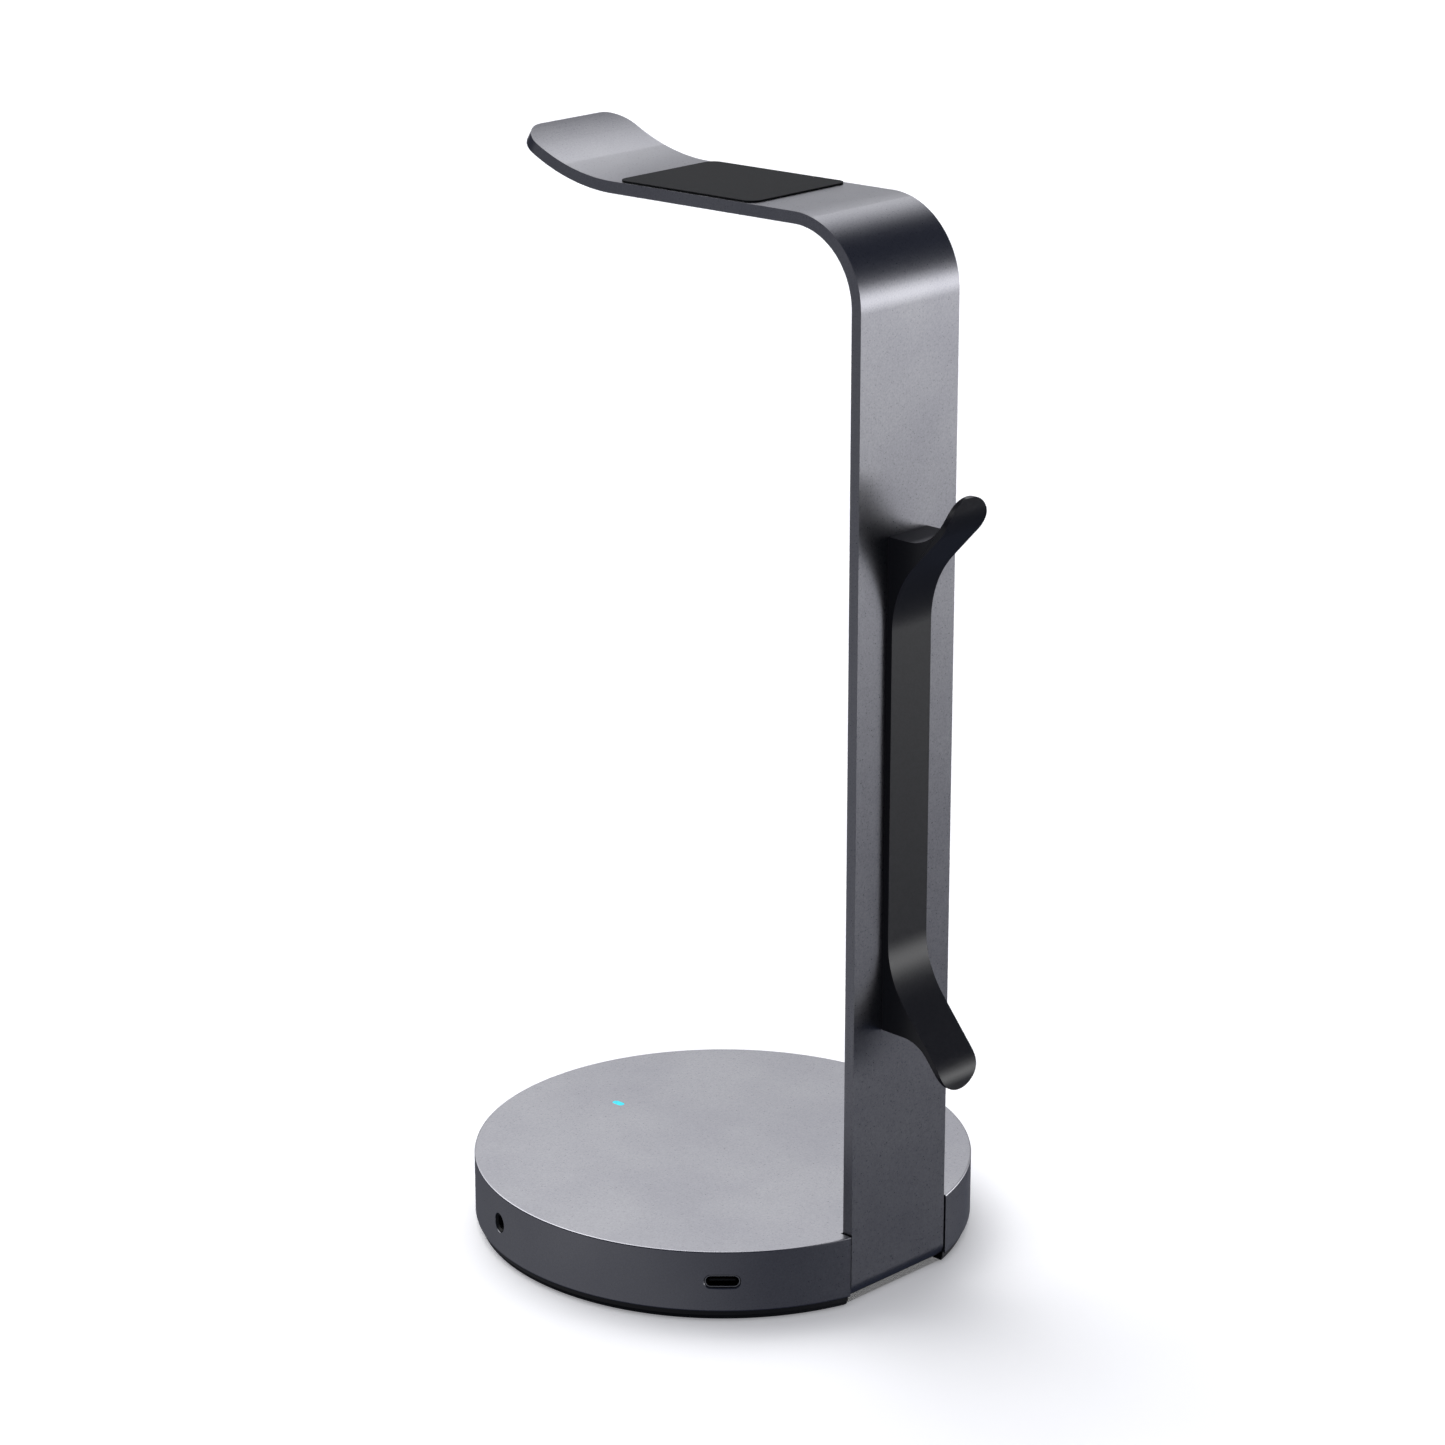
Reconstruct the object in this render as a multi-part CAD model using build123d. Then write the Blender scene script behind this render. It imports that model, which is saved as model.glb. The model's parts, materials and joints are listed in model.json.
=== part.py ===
from build123d import *
import os
from math import cos, radians, sin, tan

# Headphone stand with a USB-C and headphone jack base.
# Millimetres, +Z up. The origin is the centre of the base, on the surface it stands on.
# +Y is the side of the strap and the cable hook, -Y is the side the arm points to.

# ---- driving dimensions ----
base_radius = 65.0
base_top = 19.1
housing_bottom = 2.8
wall = 3.0
ceiling = 15.6
edge_break = 0.3

plate_radius = 64.2
plate_bottom = 1.4
foot_sheet = 1.2
foot_radius = 63.9
foot_edge_radius = 1.0

strap_width = 34.5
strap_thickness = 3.0
strap_face = 62.3
strap_gap = 0.5
foot_bend_radius = 4.0
foot_reach = 33.0
top_bend_radius = 21.2
top_bend_height = 255.3
arm_slope = 1.7
lip_start = -21.0
lip_radius = 58.5
lip_angle = 33.8
free_corner_radius = 7.0

pad_width = 33.2
pad_length = 46.4
pad_thickness = 0.4
pad_middle = 3.2
adhesive = 0.1

hook_width = 14.0
hook_strip = 1.7
hook_bottom = 72.0
hook_top = 199.2
hook_upper_screw = 192.0
hook_lower_screw = 79.5
upper_flare = 46.7
upper_flare_start = 186.1
upper_flare_length = 25.3
upper_tip = 82.7
upper_tip_length = 6.9
lower_flare = -49.2
lower_flare_start = 86.4
lower_flare_length = 27.6
lower_tip = -90.0
lower_tip_length = 5.6
hook_tip_thickness = 1.3

usb_angle = 44.5
usb_height = 10.9
jack_angle = -17.15
jack_height = 11.1
jack_bore_radius = 1.8
led_offset = -39.3
usb_leg_backs = (-4.2, -6.6)
usb_leg_side = 4.37

board_top = 9.27
board_thickness = 1.6
board_radius = 61.2
board_edge = -9.0
boss_ring = 57.5
boss_angles = (10.0, -50.0, -110.0, -170.0, 130.0)
boss_radius = 3.5
ballast_edge = -14.0
ballast_top = 13.5
block_half_width = 22.0
block_front = 30.0

UP = (Align.CENTER, Align.CENTER, Align.MIN)
DOWN = (Align.CENTER, Align.CENTER, Align.MAX)


# ---- helpers ----
def post(radius, low, high, x=0.0, y=0.0):
    """Round post between two heights."""
    return Pos(x, y, low) * Cylinder(radius, high - low, align=UP)


def slab(x_range, y_range, z_range):
    """Box between two corners."""
    sizes = [b - a for a, b in (x_range, y_range, z_range)]
    corner = Align.MIN
    return Pos(x_range[0], y_range[0], z_range[0]) * Box(*sizes, align=(corner, corner, corner))


def on_ring(radius, angle):
    """Point on a circle round the base's axis."""
    return (radius * cos(radians(angle)), radius * sin(radians(angle)))


def radial(angle, height, radius, shape):
    """Turn a shape built along +X so that it points outwards at an angle."""
    return Rot(0, 0, angle) * Pos(radius, 0, height) * shape


def along_x(shape):
    """Turn a shape built along +Z so that it points along +X."""
    return Rot(0, 90, 0) * shape


def stadium(width, height, depth):
    """Rounded slot, width along Y and height along Z, running from x = -depth to x = 0."""
    outline = Plane.YZ * SlotOverall(width, height)
    return Pos(-depth, 0, 0) * extrude(outline, depth)


def flat_head_screw(shank_radius, head_radius, length, socket):
    """Countersunk screw, its head's flat face at z = 0 and its shank pointing up."""
    head_depth = head_radius - shank_radius
    head = Cone(head_radius, shank_radius, head_depth, align=UP)
    shank = Cylinder(shank_radius, length, align=UP)
    drive = extrude(RegularPolygon(socket, 6), 1.1)
    return head + shank - drive


def pan_head_screw(shank_radius, head_radius, head_height, length, socket):
    """Pan head screw, its seat at z = 0, its head below and its shank pointing up."""
    head = Cylinder(head_radius, head_height, align=DOWN)
    head = fillet(head.edges().group_by(Axis.Z)[0], head_height * 0.35)
    drive = Pos(0, 0, -head_height) * extrude(RegularPolygon(socket, 6), head_height * 0.6)
    return head + Cylinder(shank_radius, length, align=UP) - drive


def countersink(shank_radius, head_radius, depth):
    """Cutter for a countersunk clearance hole that starts at z = 0 and goes up."""
    clearance = shank_radius + 0.15
    cone = Cone(head_radius, shank_radius, head_radius - shank_radius, align=UP)
    return cone + Pos(0, 0, -0.5) * Cylinder(head_radius, 0.5, align=UP) + Cylinder(clearance, depth, align=UP)


def group(solids):
    """Like pieces that share one node, as separate solids."""
    return Compound(children=list(solids))


def meet(p, p_angle, q, q_angle):
    """Point where two lines cross, each given by a point and an angle in degrees."""
    ux, uy = cos(radians(p_angle)), sin(radians(p_angle))
    vx, vy = cos(radians(q_angle)), sin(radians(q_angle))
    run = ((q[0] - p[0]) * vy - (q[1] - p[1]) * vx) / (ux * vy - uy * vx)
    return (p[0] + run * ux, p[1] + run * uy)


def step_from(p, angle, run):
    """Point at a distance from another, along an angle in degrees."""
    return (p[0] + run * cos(radians(angle)), p[1] + run * sin(radians(angle)))


# ---- screw sizes: shank radius, head radius, length, hexagon socket radius ----
m3_flat = (1.5, 2.9, 6.0, 1.1)
m3_plate = (1.5, 2.7, 8.0, 1.1)
m4_flat = (2.0, 3.9, 9.0, 1.4)
m4_ballast = (2.0, 3.3, 8.0, 1.3)
board_screw = (1.2, 2.3, 1.5, 6.0, 0.9)

plate_holes = [on_ring(boss_ring, angle) for angle in boss_angles]
ballast_holes = [(-44.0, 12.0), (-30.0, -34.0), (-22.0, 8.0)]
foot_holes = [(x, y) for x in (-9.5, 9.5) for y in (39.0, 51.0)]
board_holes = [(54.0, 20.0), (44.0, -34.0), (4.0, 18.0), (-3.0, -52.0)]


# ---- base ----
def strap_path_edges():
    """Edges of the strap's outline in the YZ plane, outer side first."""
    moves = [
        ("line", strap_face - foot_bend_radius - foot_reach),
        ("left", foot_bend_radius, 90.0),
        ("line", top_bend_height - plate_bottom - foot_bend_radius),
        ("left", top_bend_radius, 90.0 + arm_slope),
        ("line", arm_length()),
        ("right", lip_radius, lip_angle),
    ]
    point = (foot_reach, plate_bottom)
    heading = 0.0
    outer = []
    inner = []
    first = (point, step_from(point, 90.0, strap_thickness))
    for move in moves:
        start_in = step_from(point, heading + 90.0, strap_thickness)
        if move[0] == "line":
            end = step_from(point, heading, move[1])
            end_in = step_from(end, heading + 90.0, strap_thickness)
            outer.append(Line(point, end))
            inner.append(Line(start_in, end_in))
        else:
            side = 1.0 if move[0] == "left" else -1.0
            centre = step_from(point, heading + 90.0 * side, move[1])
            inner_radius = move[1] - side * strap_thickness
            begin = heading - 90.0 * side
            middle = begin + side * move[2] / 2
            finish = begin + side * move[2]
            end = step_from(centre, finish, move[1])
            end_in = step_from(centre, finish, inner_radius)
            outer.append(ThreePointArc(point, step_from(centre, middle, move[1]), end))
            inner.append(ThreePointArc(start_in, step_from(centre, middle, inner_radius), end_in))
            heading += side * move[2]
        point = end
    last = (point, step_from(point, heading + 90.0, strap_thickness))
    return outer + [Line(*last)] + inner + [Line(*first)]


def arm_start():
    """Where the top bend ends and the straight arm starts, on the arm's upper face."""
    centre = (strap_face - top_bend_radius, top_bend_height)
    return step_from(centre, 90.0 + arm_slope, top_bend_radius)


def arm_length():
    """Length of the straight arm, from the top bend to the start of the lip."""
    return (arm_start()[0] - lip_start) / cos(radians(arm_slope))


def arm_frame():
    """Plane on the arm's upper face at the pad's middle, its x axis across the arm."""
    y, z = arm_start()
    z -= (y - pad_middle) * tan(radians(arm_slope))
    normal = (0, -sin(radians(arm_slope)), cos(radians(arm_slope)))
    return Plane(origin=(0, pad_middle, z), x_dir=(1, 0, 0), z_dir=normal)


def strap():
    """Flat bar bent from foot to lip, with holes for the foot and hook screws."""
    outline = Plane.YZ * make_face(strap_path_edges())
    bar = extrude(outline, strap_width / 2, both=True)
    tip = bar.faces().sort_by(Axis.Y)[0]
    ends = [e for e in tip.edges() if abs(e.length - strap_thickness) < 0.1]
    bar = fillet(ends, free_corner_radius)
    sides = bar.faces().filter_by(Axis.X)
    rims = [e for face in (sides.sort_by(Axis.X)[0], sides.sort_by(Axis.X)[-1]) for e in face.edges()]
    rims = [e for e in rims if e.length > strap_thickness + 0.1]
    bar = chamfer(rims, 0.15)
    for x, y in foot_holes:
        bar -= Pos(x, y, plate_bottom) * countersink(m4_flat[0], m4_flat[1], 4.0)
    for z in (hook_lower_screw, hook_upper_screw):
        hole = Rot(-90, 0, 0) * countersink(m3_flat[0], m3_flat[1], 4.0)
        bar -= Pos(0, strap_face - strap_thickness, z) * hole
    return bar


def strap_notch(low, high, front):
    """Clearance for the strap and its foot."""
    half = strap_width / 2 + strap_gap
    return slab((-half, half), (front, base_radius + 5), (low, high))


def base_housing():
    """Machined aluminium cup with a slot for the strap, ports and screw bosses."""
    cup = post(base_radius, housing_bottom, base_top)
    cup = chamfer(cup.edges().filter_by(GeomType.CIRCLE), edge_break)
    cavity = post(base_radius - wall, housing_bottom - 1, ceiling)
    block = slab((-block_half_width, block_half_width), (block_front, base_radius), (housing_bottom, ceiling))
    bosses = [post(boss_radius, housing_bottom, ceiling, x, y) for x, y in plate_holes]
    bridge = Box(8, 4, ceiling - housing_bottom, align=(Align.MIN, Align.CENTER, Align.MIN))
    bridges = [radial(angle, housing_bottom, boss_ring, bridge) for angle in boss_angles]
    cavity -= block
    for solid in bosses + bridges:
        cavity -= solid
    for x, y in board_holes:
        cavity -= post(3.0, board_top, ceiling, x, y)
    cup -= cavity
    strap_inside = strap_face - strap_thickness - 0.3
    cup -= strap_notch(housing_bottom - 1, base_top + 1, strap_inside)
    cup -= strap_notch(housing_bottom - 1, plate_bottom + strap_thickness, foot_reach - 0.5)
    relief = Rot(45, 0, 0) * Box(strap_width + 2 * strap_gap, 1.2, 1.2)
    cup -= Pos(0, strap_inside, plate_bottom + strap_thickness) * relief
    for x, y in foot_holes:
        cup -= post(m4_flat[0] + 0.05, plate_bottom + 2, plate_bottom + 10.5, x, y)
    for x, y in plate_holes:
        cup -= post(m3_plate[0] + 0.05, housing_bottom - 1, 11.0, x, y)
    for x, y in board_holes:
        cup -= post(board_screw[0] + 0.05, board_top - 1, board_top + 5.5, x, y)
    cup -= radial(usb_angle, usb_height, base_radius + 1, stadium(9.2, 3.5, 6))
    cup -= radial(usb_angle, usb_height, base_radius + 1, stadium(9.7, 4.0, 1.25))
    cup -= radial(jack_angle, jack_height, base_radius + 1, along_x(post(2.55, -6, 0)))
    cup -= Pos(0, led_offset, ceiling - 1) * extrude(SlotOverall(3.9, 2.1, rotation=90), 6)
    return cup


def bottom_plate():
    """Steel plate that closes the base, level with the underside of the strap's foot."""
    plate = post(plate_radius, plate_bottom, housing_bottom)
    plate -= strap_notch(0, base_top, foot_reach - 0.5)
    for x, y in plate_holes:
        plate -= Pos(x, y, plate_bottom) * countersink(m3_plate[0], m3_plate[1], 3.0)
    for x, y in ballast_holes:
        plate -= Pos(x, y, plate_bottom) * countersink(m4_ballast[0], m4_ballast[1], 3.0)
    return plate


def rubber_notch(low, high):
    """Opening in the rubber behind the strap, so that the strap's bend stays free."""
    half = strap_width / 2 + strap_gap
    return slab((-half, half), (57.3, base_radius + 5), (low, high))


def rubber_foot():
    """Silicone sheet that the stand rests on, with a rounded lower edge."""
    sheet = post(foot_radius, 0, foot_sheet)
    sheet = fillet(sheet.edges().group_by(Axis.Z)[0], foot_edge_radius)
    return sheet - rubber_notch(-1, 3)


def foot_adhesive():
    """Double-sided film between the plate and the rubber."""
    return post(62.0, foot_sheet, plate_bottom) - rubber_notch(-1, 3)


def bottom_plate_screws():
    """Countersunk screws through the plate into the housing's bosses."""
    return group(Pos(x, y, plate_bottom) * flat_head_screw(*m3_plate) for x, y in plate_holes)


def strap_foot_screws():
    """Four countersunk screws up through the strap's foot."""
    return group(Pos(x, y, plate_bottom) * flat_head_screw(*m4_flat) for x, y in foot_holes)


def boss_clearance(low, high, gap):
    """Round clearances at the housing's bosses."""
    cuts = [post(boss_radius + gap, low, high, x, y) for x, y in plate_holes]
    bridge = (Align.MIN, Align.CENTER, Align.MIN)
    cuts += [radial(a, low, boss_ring, Box(9, 4 + 2 * gap, high - low, align=bridge)) for a in boss_angles]
    return cuts


def ballast_weight():
    """Steel half disc that keeps the stand from tipping."""
    weight = post(60.5, housing_bottom, ballast_top)
    weight -= slab((ballast_edge, 70), (-70, 70), (0, 20))
    weight -= slab((-block_half_width - 1, 0), (block_front - 1, 70), (0, 20))
    for cut in boss_clearance(0, 20, 0.6):
        weight -= cut
    weight = chamfer(weight.faces().sort_by(Axis.Z)[-1].edges(), 0.4)
    for x, y in ballast_holes:
        weight -= post(m4_ballast[0] + 0.05, housing_bottom - 1, housing_bottom + 7.5, x, y)
    return weight


def ballast_screws():
    """Countersunk screws that hold the weight on the plate."""
    return group(Pos(x, y, plate_bottom) * flat_head_screw(*m4_ballast) for x, y in ballast_holes)


def board_outline(low, high, grow):
    """Half disc of circuit board with room for the strap block and the bosses."""
    board = post(board_radius + grow, low, high)
    board -= slab((-80, board_edge - grow), (-80, 80), (low - 1, high + 1))
    board -= slab((-80, block_half_width + 1.5 - grow), (block_front - 3 + grow, 80), (low - 1, high + 1))
    for cut in boss_clearance(low - 1, high + 1, 0.8 - grow):
        board -= cut
    return board


def main_board():
    """Circuit board, hung from the housing's posts, open under the sunk jack."""
    low = board_top - board_thickness
    board = board_outline(low, board_top, 0)
    well = Box(13.4, 6.6, 4, align=(Align.MAX, Align.CENTER, Align.CENTER))
    board -= radial(jack_angle, board_top, base_radius - 2.0, well)
    for back in usb_leg_backs:
        for side in (-1, 1):
            slot = Pos(back, side * usb_leg_side, board_top - usb_height) * Box(1.3, 0.5, 4)
            board -= usb_mouth(slot)
    for x, y in board_holes:
        board -= post(board_screw[0] + 0.1, low - 1, board_top + 1, x, y)
    return board


def board_screws():
    """Pan head screws that hold the board up against the housing's posts."""
    low = board_top - board_thickness
    return group(Pos(x, y, low) * pan_head_screw(*board_screw) for x, y in board_holes)


def insulation_film():
    """Thin film on the plate under the circuit board."""
    film = board_outline(housing_bottom, housing_bottom + 0.2, -1.0)
    return film


# ---- ports ----
def usb_mouth(shape):
    """Place a shape of the USB-C receptacle, built with its mouth at x = 0."""
    return radial(usb_angle, usb_height, base_radius - 0.6, shape)


def usb_c_shell():
    """Stainless steel tube of the receptacle with four legs through the board."""
    shell = stadium(8.94, 3.26, 7.3) - Pos(1, 0, 0) * stadium(8.34, 2.66, 9.3)
    for side in (-1, 1):
        for back in usb_leg_backs:
            drop = usb_height - board_top + 1.2
            leg = Pos(back, side * usb_leg_side, 0) * Box(1.0, 0.2, drop, align=DOWN)
            shell += leg
    return usb_mouth(shell)


def usb_c_insulator():
    """Moulded back plug and tongue of the receptacle."""
    plug = Pos(-5.4, 0, 0) * stadium(8.3, 2.62, 1.9)
    tongue = Pos(-0.8, 0, 0) * Box(5.2, 6.7, 0.7, align=(Align.MAX, Align.CENTER, Align.CENTER))
    return usb_mouth(plug + tongue)


def usb_c_contacts():
    """Twelve gold contacts on each side of the tongue."""
    bar = Box(3.4, 0.25, 0.06, align=(Align.MAX, Align.CENTER, Align.CENTER))
    rows = [Pos(-1.3, (i - 5.5) * 0.5, side * 0.38) * bar for i in range(12) for side in (-1, 1)]
    return group(usb_mouth(row) for row in rows)


def jack_mouth(shape):
    """Place a shape of the headphone jack, built with its mouth at x = 0."""
    return radial(jack_angle, jack_height, base_radius - 0.3, shape)


def jack_body():
    """Moulded jack with a round barrel that fills the hole in the housing."""
    barrel = along_x(Cylinder(2.5, 3.0, align=DOWN))
    case = Pos(-3.0, 0, 0) * Box(11.0, 6.0, 5.0, align=(Align.MAX, Align.CENTER, Align.CENTER))
    bore = along_x(post(jack_bore_radius, -12.5, 1))
    lead_in = along_x(Cone(jack_bore_radius, jack_bore_radius + 0.35, 0.35, align=DOWN))
    return jack_mouth(barrel + case - bore - lead_in)


def jack_terminals():
    """Four soldered tabs that hold the jack on the board."""
    tabs = []
    rise = board_top - jack_height
    for side in (-1, 1):
        for back in (-5.5, -11.5):
            tab = Box(1.4, 1.6, 0.25, align=UP)
            tabs.append(jack_mouth(Pos(back, side * 3.8, rise) * tab))
    return group(tabs)


# ---- indicator ----
def led_chip():
    """Surface mounted light source under the light pipe."""
    base = Box(1.2, 2.0, 0.4, align=UP)
    lens = Pos(0, 0, 0.4) * Box(1.0, 1.6, 0.35, align=UP)
    return Pos(0, led_offset, board_top) * (base + fillet(lens.edges().filter_by(Axis.Z), 0.2))


def light_pipe():
    """Clear pill-shaped pipe with a flange against the ceiling."""
    flange = extrude(SlotOverall(6.4, 4.4, rotation=90), 1.2)
    stem = extrude(SlotOverall(3.8, 2.0, rotation=90), base_top - 10.4)
    pipe = Pos(0, 0, ceiling - 1.2) * flange + Pos(0, 0, 10.4) * stem
    return Pos(0, led_offset, 0) * pipe


# ---- components on the board ----
def chip(x, y, size, height, turn=0.0):
    """Moulded package with a pin-one dimple, on the board."""
    body = Box(size, size, height, align=UP)
    body = chamfer(body.faces().sort_by(Axis.Z)[-1].edges(), 0.12)
    dimple = Pos(-size * 0.33, size * 0.33, height) * Cylinder(size * 0.06, 0.2)
    return Pos(x, y, board_top) * Rot(0, 0, turn) * (body - dimple)


def audio_codec():
    """Audio converter chip beside the jack."""
    return chip(42.0, -12.0, 6.0, 0.9, jack_angle)


def usb_bridge_chip():
    """USB controller chip near the USB-C receptacle."""
    return chip(30.0, 20.0, 7.0, 0.9)


def headphone_amplifier():
    """Small amplifier chip between the codec and the jack."""
    return chip(39.0, -22.0, 4.0, 0.8)


def voltage_regulator():
    """Regulator chip near the USB-C receptacle."""
    return chip(40.0, 28.0, 3.0, 1.0, usb_angle)


def crystal():
    """Metal can crystal of the USB controller."""
    can = Box(3.2, 2.5, 0.8, align=UP)
    return Pos(30.0, 12.0, board_top) * fillet(can.edges().filter_by(Axis.Z), 0.3)


def ceramic_capacitors():
    """Small decoupling capacitors round the chips."""
    places = [(23.0 + 3.0 * i, 6.0) for i in range(6)] + [(34.0 + 3.0 * i, -3.0) for i in range(5)]
    return group(Pos(x, y, board_top) * Box(1.0, 2.0, 0.9, align=UP) for x, y in places)


def resistors():
    """Small resistors near the codec."""
    places = [(32.0, -8.0 - 2.0 * i) for i in range(7)]
    return group(Pos(x, y, board_top) * Box(1.6, 0.8, 0.45, align=UP) for x, y in places)


def output_capacitors():
    """Two aluminium can capacitors on the headphone output."""
    cans = []
    for x, y in ((24.0, -30.0), (24.0, -40.0)):
        foot = Box(5.3, 5.3, 0.6, align=UP)
        can = Pos(0, 0, 0.6) * Cylinder(2.4, 4.2, align=UP)
        can = fillet(can.edges().group_by(Axis.Z)[-1], 0.3)
        cans.append(Pos(x, y, board_top) * (foot + can))
    return group(cans)


def inductor():
    """Shielded power inductor of the regulator."""
    body = Box(4.0, 4.0, 2.0, align=UP)
    return Pos(33.0, 33.0, board_top) * chamfer(body.edges().filter_by(Axis.Z), 0.6)


# ---- pad ----
def pad_slab(width, length, low, high, corner):
    """Rounded rectangle that lies on the arm between two heights above it."""
    outline = RectangleRounded(width, length, corner)
    return arm_frame() * (Pos(0, 0, low) * extrude(outline, high - low))


def cradle_pad():
    """Soft pad that the headband rests on."""
    pad = RectangleRounded(pad_width, pad_length, 3.0)
    pad = extrude(pad, pad_thickness)
    pad = fillet(pad.edges().group_by(Axis.Z)[-1], 0.15)
    return arm_frame() * (Pos(0, 0, adhesive) * pad)


def pad_adhesive():
    """Film that bonds the pad to the arm."""
    return pad_slab(pad_width - 1.0, pad_length - 1.0, 0.0, adhesive, 2.5)


# ---- cable hook ----
def hook_outline():
    """Side profile of the hook: a strip whose ends flare out and bend back up or down at their tips."""
    face = strap_face + hook_strip
    root_top = (face, upper_flare_start)
    root_low = (face, lower_flare_start)
    knee_top = step_from(root_top, upper_flare, upper_flare_length)
    knee_low = step_from(root_low, lower_flare, lower_flare_length)
    tip_top = step_from(knee_top, upper_tip, upper_tip_length)
    tip_low = step_from(knee_low, lower_tip, lower_tip_length)
    back_top = step_from(tip_top, upper_tip + 90.0, hook_tip_thickness)
    back_low = step_from(tip_low, lower_tip - 90.0, hook_tip_thickness)
    behind_top = step_from(knee_top, upper_flare + 90.0, hook_strip)
    behind_low = step_from(knee_low, lower_flare - 90.0, hook_strip)
    back_knee_top = meet(back_top, upper_tip, behind_top, upper_flare)
    back_knee_low = meet(back_low, lower_tip, behind_low, lower_flare)
    crotch_top = meet((0.0, hook_top), 0.0, behind_top, upper_flare)
    crotch_low = meet((0.0, hook_bottom), 0.0, behind_low, lower_flare)
    corners = [
        ((strap_face, hook_bottom), 0.0),
        ((strap_face, hook_top), 0.0),
        (crotch_top, 12.0),
        (back_knee_top, 10.4),
        (back_top, 0.3),
        (tip_top, 0.3),
        (knee_top, 12.0),
        (root_top, 25.2),
        (root_low, 24.3),
        (knee_low, 10.6),
        (tip_low, 0.3),
        (back_low, 0.3),
        (back_knee_low, 9.0),
        (crotch_low, 10.0),
    ]
    points = [corner[0] for corner in corners]
    radii = [corner[1] for corner in corners]
    return make_face(FilletPolyline(*points, radius=radii, close=True))


def tip_rounding(tip, side):
    """Cutter that leaves a flared end round, seen from behind. Side is 1 for the upper end."""
    half = hook_width / 2
    blank = slab((-half - 1, half + 1), (strap_face + 10, strap_face + 30), (0, half + 1))
    disc = Pos(0, strap_face + 20, 0) * (Rot(90, 0, 0) * Cylinder(half, 30))
    cutter = blank - disc
    if side < 0:
        cutter = Rot(0, 180, 0) * cutter
    return Pos(0, 0, tip - side * half) * cutter


def cable_hook():
    """Hook that the headphone cable is wound on, screwed to the back of the strap."""
    body = extrude(Plane.YZ * hook_outline(), hook_width / 2, both=True)
    heights = [vertex.Z for vertex in body.vertices()]
    body -= tip_rounding(max(heights), 1)
    body -= tip_rounding(min(heights), -1)
    for z in (hook_lower_screw, hook_upper_screw):
        body -= Pos(0, strap_face, z) * (Rot(-90, 0, 0) * post(2.0, -0.5, 4.6))
    return body


def hook_inserts():
    """Two brass threaded inserts pressed into the hook."""
    sleeve = post(2.0, 0, 4.2) - post(m3_flat[0] + 0.05, -1, 6)
    return group(Pos(0, strap_face, z) * (Rot(-90, 0, 0) * sleeve) for z in (hook_lower_screw, hook_upper_screw))


def hook_screws():
    """Two countersunk screws from the strap's inner face into the inserts."""
    seat = strap_face - strap_thickness
    screw = Rot(-90, 0, 0) * flat_head_screw(*m3_flat)
    return group(Pos(0, seat, z) * screw for z in (hook_lower_screw, hook_upper_screw))


makers = [
    base_housing, bottom_plate, rubber_foot, foot_adhesive, bottom_plate_screws, strap, strap_foot_screws,
    ballast_weight, ballast_screws, main_board, board_screws, insulation_film, usb_c_shell, usb_c_insulator,
    usb_c_contacts, jack_body, jack_terminals, led_chip, light_pipe, audio_codec, usb_bridge_chip,
    headphone_amplifier, voltage_regulator, crystal, ceramic_capacitors, resistors, output_capacitors,
    inductor, cradle_pad, pad_adhesive, cable_hook, hook_inserts, hook_screws,
]

os.makedirs("parts", exist_ok=True)
for maker in makers:
    export_step(maker(), os.path.join("parts", maker.__name__ + ".step"))
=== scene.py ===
import json
from math import atan2, ceil, cos, hypot, pi, radians, sin, tan

import bmesh
import bpy
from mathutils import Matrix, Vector


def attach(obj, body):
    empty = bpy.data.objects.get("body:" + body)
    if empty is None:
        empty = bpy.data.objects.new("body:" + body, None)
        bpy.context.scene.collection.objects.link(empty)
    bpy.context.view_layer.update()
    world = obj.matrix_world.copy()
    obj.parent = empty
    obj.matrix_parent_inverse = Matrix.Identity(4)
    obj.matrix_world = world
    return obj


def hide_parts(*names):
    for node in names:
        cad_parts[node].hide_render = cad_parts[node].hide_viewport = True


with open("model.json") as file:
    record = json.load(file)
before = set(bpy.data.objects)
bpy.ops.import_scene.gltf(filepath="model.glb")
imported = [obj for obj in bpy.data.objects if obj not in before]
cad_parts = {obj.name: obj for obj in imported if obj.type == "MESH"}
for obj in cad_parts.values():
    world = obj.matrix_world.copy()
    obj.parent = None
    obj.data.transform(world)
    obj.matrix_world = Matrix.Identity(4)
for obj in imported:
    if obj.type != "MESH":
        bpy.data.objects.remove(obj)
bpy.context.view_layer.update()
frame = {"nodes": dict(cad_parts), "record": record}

# ---- Camera ----
# A long lens looks down at the corner of the stand where the strap and the two ports are,
# so that the base's top, the strap's outer face and its narrow side all show.
mm = 0.001
camera_azimuth = radians(134.6)
camera_pitch = radians(18.59)
camera_place = (762.4 * mm, 751.7 * mm, 496.1 * mm)
camera_lens = 110.9

bpy.ops.object.camera_add(location=camera_place, rotation=(pi / 2 - camera_pitch, 0, camera_azimuth))
camera = bpy.context.active_object
camera.data.lens = camera_lens
camera.data.sensor_width = 36.0
camera.data.clip_start = 0.05
camera.data.clip_end = 20.0
bpy.context.scene.camera = camera

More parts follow.
